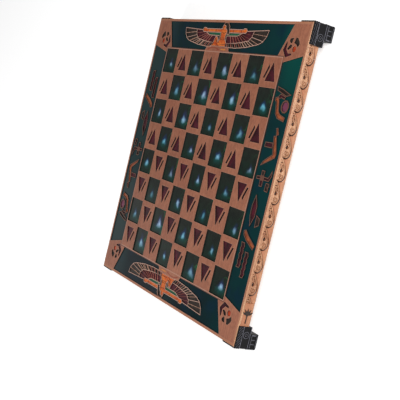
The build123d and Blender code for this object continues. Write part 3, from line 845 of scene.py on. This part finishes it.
def step_up(value, low, high):
    t = np.clip((value - low) / (high - low), 0, 1)
    return t * t * (3 - 2 * t)


def curl_point(angle):
    """A point of the spiral that closes round the curl's middle."""
    radius = CURL_RADIUS - CURL_CLOSING * angle
    return CURL[0] + radius * math.cos(angle - CURL_START), CURL[1] + radius * math.sin(angle - CURL_START)


crest_line = smooth_line(CREST)
leaf_outline = np.vstack([crest_line, [(CREST[-1][0], BAND), (0, BAND)]])
curl_line = np.array([curl_point(angle) for angle in np.linspace(0, 2 * math.pi * CURL_TURNS, 40)])
hook_line = smooth_line(HOOK, 4)
picker = random.Random(7)
pits = [(picker.uniform(2.5, 20), picker.uniform(4.6, 15)) for _ in range(PITS)]
pits = [p for p in pits if p[1] < np.interp(p[0], *crest_line[:CREST_RISING].T) - PITS_BELOW_CREST
        and math.dist(p, EYE) > PITS_OFF_EYE]


def carving(along, down, last=False):
    """The carved face's height in millimetres, the painted shade of its grooves and of the ground beside each
    crest, and 1 on the sunk ground.
    """
    pitch, tail = PITCH * 1000, TAIL_END * 1000
    height = np.zeros(along.shape)
    raised = np.zeros(along.shape, bool)
    off_crest = np.full(along.shape, FAR_OFF)
    shifts = (-pitch, 0.0) if last else (-pitch, 0.0, pitch)
    for shift in shifts:
        cut_off = last and shift == 0.0
        x = np.where(along < tail, along, FAR_OFF) if cut_off else along - shift
        leaf = in_outline(x, down, leaf_outline)
        raised |= leaf
        crest = off_line(x, down, crest_line)
        off_crest = np.minimum(off_crest, crest)
        height -= CREST_DEPTH * dip(crest, 0.45 + 0.55 * step_up(x, 8, 34))
        height -= np.where(leaf & (x > 4), INNER_LINE_DEPTH * dip(crest - 2.7, 0.45), 0)
        if not cut_off:
            height -= CURL_DEPTH * dip(off_line(x, down, curl_line), 0.6)
            height -= CURL_DEPTH * dip(off_line(x, down, hook_line), 0.6)
            height -= EYE_DEPTH * (1 - step_up(np.hypot(x - EYE[0], down - EYE[1]), 1.6, 2.7))
            height += 0.35 * dip(np.hypot(x - CURL[0], down - CURL[1]), 3.4)
        for pit_x, pit_y in pits:
            height -= PIT_DEPTH * dip(np.hypot(x - pit_x, down - pit_y), 0.52)
    groove_shade = -height
    raised |= down < BAND + 0.1
    ground = -GROUND_DEPTH + 0.8 * step_up(down, 16.5, 21)
    if last:
        ground = np.where(along > tail, -TAIL_DEPTH, ground)
    height = np.where(raised, height, ground + np.minimum(height, 0) * 0.7)
    height -= 0.45 * dip(down - BAND, 0.32)
    height -= 0.6 * (1 - step_up(down, 0, 0.7)) + 0.6 * step_up(down, 20.8, 21.5)
    if last:
        height -= TAIL_DEPTH * dip(along - tail, 0.5) * (down > BAND)
    # Painted shade: a dark line under the top band, and a shadow on the ground beside each crest
    groove_shade += 0.8 * dip(down - 3.9, 0.5) + np.where(raised, 0, 0.7 * dip(off_crest, 2.2))
    return np.clip(height, -DEEPEST, 0.0), groove_shade, np.where(raised, 0.0, 1.0)


def sleeve(rings, count, closed=True):
    """Faces between rings of vertices that follow one another, with or without its two ends."""
    faces = []
    for ring in range(rings - 1):
        for place in range(count):
            here, after = ring * count + place, ring * count + (place + 1) % count
            faces.append((here, after, after + count, here + count))
    if closed:
        faces += [tuple(range(count)), tuple(range((rings - 1) * count, rings * count))]
    return faces


def rail_length(name, start, length, last=False):
    """A stretch of the right rail, open at both ends. It starts some way from the far corner."""
    columns, rows = round(length / STEP), round(THICK / STEP)
    along = np.linspace(0, length * 1000, columns + 1)
    down = np.linspace(0, THICK * 1000, rows + 1)
    height, groove_shade, sunk = carving(*np.meshgrid(along, down, indexing="ij"), last)
    vertices, cut, ground = [], [], []
    for column in range(columns + 1):
        y = RAIL_OUTER - start - along[column] / 1000
        vertices += [(RAIL_OUTER + h / 1000, y, FACE - d / 1000) for h, d in zip(height[column], down)]
        vertices += [(x, y, z) for x, z in INNER]
        cut += [*(groove_shade[column] / FULL_SHADE_DEPTH), *[0.0] * len(INNER)]
        ground += [*sunk[column], *[0.0] * len(INNER)]
    faces = sleeve(columns + 1, rows + 1 + len(INNER), closed=False)
    return built(name, vertices, faces, cut=cut, ground=ground)


def mitre(name, start, corner):
    """The plain end of the right rail, hidden by a cap: from its cut to the mitre at a corner."""
    side = RAIL_OUTER - UNDER_CAP
    section = [(side - SOFT_TOP, FACE), (side, FACE - SOFT_TOP), (side, UNDERSIDE), *INNER]
    vertices = [(x, start, z) for x, z in section] + [(x, corner * x, z) for x, z in section]
    return built(name, vertices, sleeve(2, len(section)))


def row_tree(name):
    """Copies of a piece in a straight row, joined and given a material."""
    tree, given, result = new_tree(name, Count="Int", Pitch="Vector", Material="Material")
    line = tree.nodes.new("GeometryNodeMeshLine")
    copies, _, weld, paint = chain(
        tree, line.outputs[0], "InstanceOnPoints", "RealizeInstances", "MergeByDistance", "SetMaterial")
    weld.inputs["Distance"].default_value = SAME_POINT
    link = tree.links.new
    link(given.outputs["Count"], line.inputs["Count"])
    link(given.outputs["Pitch"], line.inputs["Offset"])
    link(given.outputs["Geometry"], copies.inputs["Instance"])
    link(given.outputs["Material"], paint.inputs["Material"])
    link(paint.outputs[0], result.inputs[0])
    return tree


def joined(name, meshes, weld=0.0):
    """One mesh of several, welded where they meet, with its faces pointing outwards."""
    work = bmesh.new()
    for mesh in meshes:
        work.from_mesh(mesh)
    bmesh.ops.remove_doubles(work, verts=work.verts, dist=weld)
    bmesh.ops.recalc_face_normals(work, faces=work.faces)
    made = bpy.data.meshes.new(name)
    work.to_mesh(made)
    work.free()
    return made


def rail_wood(name, along):
    made, tree, shader, tone = wood(
        name, colour(118, 72, 48), colour(180, 126, 92), colour(222, 174, 134), along, 0.46, 0.1
    )
    ground = put(tree, "Attribute", out=2, attribute_name="ground")
    level = parts(tree, object_place(tree))[2]
    shaded = times(tree, ground, ranged(tree, level, UNDERSIDE, FACE - 0.012, 0.25, 0.85))
    tone = mixed(tree, shaded, tone, colour(168, 104, 70))
    # Painted shade, darker as the grooves go deeper
    cut = put(tree, "Attribute", out=2, attribute_name="cut")
    tone = mixed(tree, ranged(tree, cut, 0.08, 0.4, 0.0, 0.7), tone, colour(136, 78, 46))
    tone = mixed(tree, ranged(tree, cut, 0.42, 0.72, 0.0, 0.95), tone, colour(34, 20, 14))
    # The tops take the face wood's reddish tone; the sides' paler honey is partly painted light
    tone = mixed(tree, ranged(tree, upright(tree), 0.8, 0.95, 0.0, 0.75), tone, colour(170, 104, 74))
    tree.links.new(tone, shader.inputs["Base Color"])
    return made


woods = [rail_wood("rail_wood_long", 1), rail_wood("rail_wood_across", 0)]
one_scroll = rail_length("one_scroll", FIRST_SCROLL, PITCH)
scroll_row = row_tree("scroll_row")
repeated = grown_mesh(one_scroll, scroll_row, Count=SCROLLS, Pitch=(0.0, -PITCH, 0.0), Material=woods[0])
last_length = rail_length("last_length", CARVED_END, RAIL_END - CARVED_END, True)
carved = joined("carved", [repeated, last_length], SAME_POINT)
mitres = [mitre("far_end", RAIL_OUTER - FIRST_SCROLL, 1), mitre("near_end", RAIL_OUTER - RAIL_END, -1)]
for number, side in enumerate(("right", "far", "left", "near")):
    mesh = joined("rail_" + side, [carved, *mitres])
    mesh.transform(Matrix.Rotation(math.radians(90 * number), 4, "Z"))
    piece("carved_rail_" + side, mesh, "rail_wood", woods[number % 2], "edge_rail_" + side)


# Corner caps
# Black castings that slip over the mitred corners, with slanted flutes, two bands and a double
# ring in relief. Their high places are painted silver grey, partly a dry-brushed finish and partly
# painted highlight, and their deep places carry painted shade.

OUTSIDE = 0.25975
CAP_LEG = 0.037
CAP_TOP = 0.041
CAP_UNDER = 0.016
CAP_ROUND = 0.003
CAP_INSIDE = 0.2571
CELL = 0.0004
FLANGE = 0.016
FLANGE_TOP = 0.0204

# Relief in millimetres, from the corner out along a leg and down from the top
FLUTE_PITCH = 5.2
FLUTE_SLANT = 1.3
FLUTE_DEPTH = 1.2
FLUTES_DOWN = (0.9, 8.2)
FRAME_OUT = 35.6
FRAME_DEPTH = 0.45
CAP_GROUND = 0.75
HIGH_BAND = 9.2
LOW_BAND = 23.6
RING = (23.4, 16.2)
RING_RADII = (5.2, 2.0)

# Which way each corner lies from the middle, to the right and to the far side
CORNERS = {"far_left": (-1, 1), "far_right": (1, 1), "near_left": (-1, -1), "near_right": (1, -1)}


def cap_relief(out, down):
    """Height of a cap's side in millimetres, from the corner out along a leg and down from its top."""
    ropes = 0.5 - 0.5 * np.cos(2 * math.pi * (out - FLUTE_SLANT * down) / FLUTE_PITCH)
    fluted = (down > FLUTES_DOWN[0]) & (down < FLUTES_DOWN[1]) & (out < FRAME_OUT)
    height = np.where(fluted, -FLUTE_DEPTH * ropes**0.6, -CAP_GROUND)
    height = np.where((down < FLUTES_DOWN[0]) | (out > FRAME_OUT) | (down > 23.2), -FRAME_DEPTH, height)
    height += np.where(down > FLUTES_DOWN[1], CAP_GROUND * dip(down - HIGH_BAND, 0.65), 0)
    off_ring = np.hypot(out - RING[0], down - RING[1])
    height += CAP_GROUND * (dip(off_ring - RING_RADII[0], 0.5) + dip(off_ring - RING_RADII[1], 0.45))
    height += np.where(down > 20, FRAME_DEPTH * dip(down - LOW_BAND, 0.5), 0)
    height -= 0.5 * (1 - step_up(down, 0, 0.6) + step_up(down, 24.4, 25) + step_up(out, 36.4, 37))
    return np.clip(height, -1.7, 0.0)


def round_corner(leg, low, high, relief, inner):
    """A casting round the far right corner: two relief sides, and inside them either a wall or one edge."""
    straight = leg - CAP_ROUND
    bend = CAP_ROUND * math.pi / 2
    centre = OUTSIDE - CAP_ROUND
    columns, rows = round((2 * straight + bend) / CELL), round((high - low) / CELL)
    down = np.linspace(0, high - low, rows + 1)
    vertices, depth = [], []
    for run in np.linspace(0, 2 * straight + bend, columns + 1):
        left = 2 * straight + bend - run
        if run < straight:
            x, y, facing, out = OUTSIDE, OUTSIDE - leg + run, (1.0, 0.0), leg - run
        elif run > straight + bend:
            x, y, facing, out = OUTSIDE - leg + left, OUTSIDE, (0.0, 1.0), leg - left
        else:
            angle = (run - straight) / CAP_ROUND
            facing = (math.cos(angle), math.sin(angle))
            x, y = centre + CAP_ROUND * facing[0], centre + CAP_ROUND * facing[1]
            out = CAP_ROUND * (1 - abs(2 * (run - straight) / bend - 1))
        rise = relief(np.full(rows + 1, out * 1000), down * 1000) / 1000
        vertices += [(x + facing[0] * r, y + facing[1] * r, high - d) for r, d in zip(rise, down)]
        vertices += [(min(x, inner), min(y, inner), z) for z in (low, high)]
        depth += [*(-1000 * rise), 1.0, 0.3]
    return built("casting", vertices, sleeve(columns + 1, rows + 3), depth=depth)


def slab(name, outline, low, high):
    """A plain upright solid over an outline."""
    vertices = [(x, y, z) for z in (low, high) for x, y in outline]
    return built(name, vertices, sleeve(2, len(outline)))


def at_corners(kind, mesh, node):
    """A casting of the far right corner, mirrored to all four with its faces kept outwards."""
    for corner, (right, far) in CORNERS.items():
        made = mesh.copy()
        made.name = f"{kind}_{corner}"
        made.transform(Matrix.Diagonal((right, far, 1, 1)))
        if right != far:
            made.flip_normals()
        piece(f"relief_{kind}_{corner}", made, "cast_black", cast_black, f"{node}_{corner}")


cast_black, tree, shader = finish("cast_black", 0.5, 0.0, 0.15)
place = object_place(tree)
wear = noise(tree, place, 420.0, 4.0, 0.65)
pitted = put(tree, "TexVoronoi", place, None, 1300.0)
depth = put(tree, "Attribute", out=2, attribute_name="depth")
# Silver grey on the high places, partly dry-brushed finish and partly painted highlight; painted shade in the
# deep places
silver_and_highlight = times(tree, ranged(tree, depth, 0.05, 0.35, 1.0, 0.0), ranged(tree, wear, 0.3, 0.55, 0.3, 1.0))
tone = mixed(tree, ranged(tree, depth, 0.2, 1.0), colour(24, 23, 26), colour(7, 7, 8))
tone = mixed(tree, silver_and_highlight, tone, colour(150, 150, 162), 0.66)
tree.links.new(tone, shader.inputs["Base Color"])
bumped(tree, shader, calc(tree, "ADD", wear, times(tree, pitted, 0.3)), FINE_RELIEF)

cap_walls = round_corner(CAP_LEG, CAP_UNDER, CAP_TOP, cap_relief, CAP_INSIDE)
low_corner = OUTSIDE - CAP_LEG
flange_outline = [
    (CAP_INSIDE, low_corner), (CAP_INSIDE, CAP_INSIDE), (low_corner, CAP_INSIDE),
    (low_corner, low_corner + FLANGE), (low_corner + FLANGE, low_corner),
]
flange = slab("flange", flange_outline, CAP_UNDER, FLANGE_TOP)
at_corners("cap", joined("cap", [cap_walls, flange]), "corner_cap")


# Feet and pads
# Square black castings below the caps, with a raised fret on their outer sides. A spigot goes
# up through the cap into the base panel, and a rubber pad is let into each underside.

FOOT_SIDE = 0.026
FOOT_UNDER = 0.001
SPIGOT = (0.2374, 0.2444)
SPIGOT_TOP = 0.028

# The fret in millimetres, from the corner out and down from the cap
FRET_OUT = (1.2, 24.6)
FRET_DOWN = (2.6, 12.4)
PRONGS = 4
FIRST_PRONG = 2.6
PRONG_PITCH = 7.0
PRONG_END = 9.4


def foot_relief(out, down):
    """Height of a foot's side in millimetres, from the corner out and down from the cap."""
    in_fret = (out > FRET_OUT[0]) & (out < FRET_OUT[1])
    fret = np.where(in_fret, dip(down - FRET_DOWN[0], 0.75) + dip(down - FRET_DOWN[1], 0.7), 0)
    in_prong = (down > FRET_DOWN[0]) & (down < PRONG_END)
    for number in range(PRONGS):
        fret = np.maximum(fret, dip(out - (FIRST_PRONG + PRONG_PITCH * number), 0.9) * in_prong)
    in_end = (down > FRET_DOWN[0]) & (down < FRET_DOWN[1])
    fret = np.maximum(fret, dip(out - FRET_OUT[1], 0.7) * in_end)
    height = -1.0 + 0.95 * np.clip(fret, 0, 1)
    height = np.where((down < 0.8) | (down > 14.0), np.maximum(height, -0.35), height)
    height -= 0.9 * step_up(down, 13.9, 15.0)
    return np.clip(height, -1.9, 0.0)


foot_body = round_corner(FOOT_SIDE, FOOT_UNDER, CAP_UNDER, foot_relief, OUTSIDE - FOOT_SIDE)
near, far = SPIGOT
spigot = slab("spigot", [(near, near), (far, near), (far, far), (near, far)], CAP_UNDER, SPIGOT_TOP)
at_corners("foot", joined("foot", [foot_body, spigot]), "foot")

pad_rubber, tree, shader = finish("pad_rubber", 0.85, 0.0, 0.3)
tone = mixed(tree, noise(tree, object_place(tree), 800.0, 3.0), colour(16, 16, 17), colour(34, 34, 35))
tree.links.new(tone, shader.inputs["Base Color"])
dress(["foot_pads"], pad_rubber)


# Floor, lights and camera
# A wide pale floor under soft light, strongest from the right, and the camera where the
# photographer's stood, measured from the corners of the playing squares.

FLOOR_RADIUS = 30.0
FLOOR_GLOW = 0.52
ROOM_LIGHT = 0.2
CAMERA_PLACE = (1.36472, 0.05728, 0.78769 + FACE)
CAMERA_TURN = (17.593, 57.369, 25.741)
LENS = 79.55

bpy.ops.mesh.primitive_circle_add(vertices=64, radius=FLOOR_RADIUS, fill_type="NGON")
floor = bpy.context.object
floor.name = "floor"
floor_paint, tree, shader = finish("floor_paint", 0.9, 0.0, 0.1)
shader.inputs["Base Color"].default_value = (0.86, 0.86, 0.86, 1.0)
shader.inputs["Emission Color"].default_value = (1.0, 1.0, 1.0, 1.0)
rays = tree.nodes.new("ShaderNodeLightPath")
seen = calc(tree, "MAXIMUM", rays.outputs["Is Camera Ray"], rays.outputs["Is Glossy Ray"])
seen = calc(tree, "MAXIMUM", seen, rays.outputs["Is Transmission Ray"])
tree.links.new(times(tree, seen, FLOOR_GLOW), shader.inputs["Emission Strength"])
floor.data.materials.append(floor_paint)


def soft_light(name, place, size, power):
    """A round lamp that shines on the middle of the board."""
    lamp = bpy.data.lights.new(name, "AREA")
    lamp.shape = "DISK"
    lamp.size = size
    lamp.energy = power
    held = bpy.data.objects.new(name, lamp)
    held.location = place
    held.rotation_mode = "QUATERNION"
    held.rotation_quaternion = (-Vector(place)).to_track_quat("-Z", "Y")
    bpy.context.scene.collection.objects.link(held)


soft_light("key", (1.9, 0.5, 1.15), 1.0, 45.0)
soft_light("front", (-0.7, -1.9, 1.4), 1.4, 27.0)
soft_light("left", (-1.8, -0.55, 0.7), 0.8, 0.6)
world = bpy.data.worlds.new("room")
world.use_nodes = True
world.node_tree.nodes["Background"].inputs["Color"].default_value = (1.0, 1.0, 1.0, 1.0)
world.node_tree.nodes["Background"].inputs["Strength"].default_value = ROOM_LIGHT
bpy.context.scene.world = world
bpy.context.scene.view_settings.view_transform = "Standard"

camera = bpy.data.objects.new("camera", bpy.data.cameras.new("camera"))
camera.data.sensor_width = 36.0
camera.data.lens = LENS
turn = Euler([math.radians(angle) for angle in CAMERA_TURN])
camera.matrix_world = Matrix.LocRotScale(Vector(CAMERA_PLACE), turn, None)
bpy.context.scene.collection.objects.link(camera)
bpy.context.scene.camera = camera
